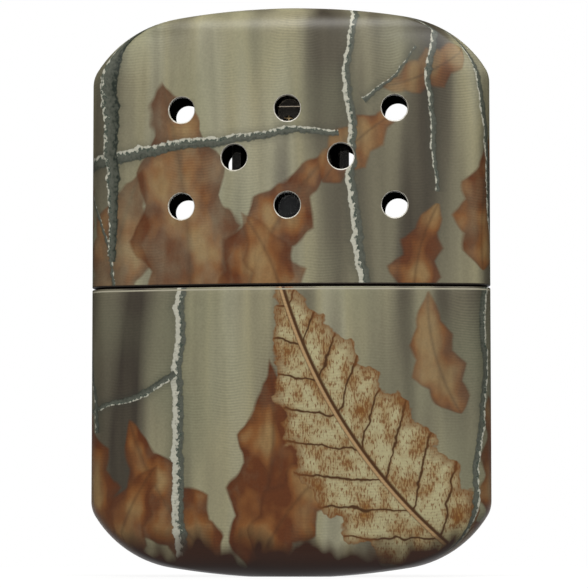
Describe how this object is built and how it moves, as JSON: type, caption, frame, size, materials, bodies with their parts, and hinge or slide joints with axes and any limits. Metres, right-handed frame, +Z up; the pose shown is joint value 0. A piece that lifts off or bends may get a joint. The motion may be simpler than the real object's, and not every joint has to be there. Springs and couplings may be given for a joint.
{
  "type": "catalytic hand warmer",
  "caption": "Flat pocket hand warmer: a cotton-packed fuel tank, a catalytic burner that lifts off its filler neck, and a vented cover that slides over its collar.",
  "frame": {"origin": "centre of the flat foot under the tank, at the bottom of the part", "axes": "+Z up from the tank to the cover, +Y towards the rear face, +X to the right of someone who looks at the front face; the front and rear faces are alike"},
  "size_m": [0.07, 0.0134, 0.0995],
  "materials": {
    "printed_enamel": "satin film print under clear coat on drawn steel",
    "chrome": "bright chrome plate",
    "stainless": "satin stainless steel",
    "cotton": "loose absorbent cotton",
    "felt": "pressed wool felt",
    "catalyst": "glass-fibre mat, grey with catalyst"
  },
  "bodies": {
    "tank": {"tank_shell": "printed_enamel", "tank_collar": "chrome", "tank_deck": "chrome", "filler_neck": "chrome", "neck_screen": "stainless", "wick_felt": "felt", "cotton_batting": "cotton"},
    "cover": {"cover_shell": "printed_enamel"},
    "burner": {"burner_skirt": "chrome", "cage_front": "chrome", "cage_rear": "chrome", "burner_cap": "chrome", "diffuser_plate": "stainless", "catalyst_mat": "catalyst", "gauze_front": "stainless", "gauze_rear": "stainless", "grip_spring_left": "stainless", "grip_spring_right": "stainless", "cage_rivets": "stainless", "spring_rivets": "stainless"}
  },
  "joints": [
    {"name": "cover_lift", "type": "slide", "parent": "tank", "child": "cover", "axis": [0, 0, 1], "range_m": [0, 0.045]},
    {"name": "burner_lift", "type": "slide", "parent": "tank", "child": "burner", "axis": [0, 0, 1], "range_m": [0, 0.01]}
  ]
}
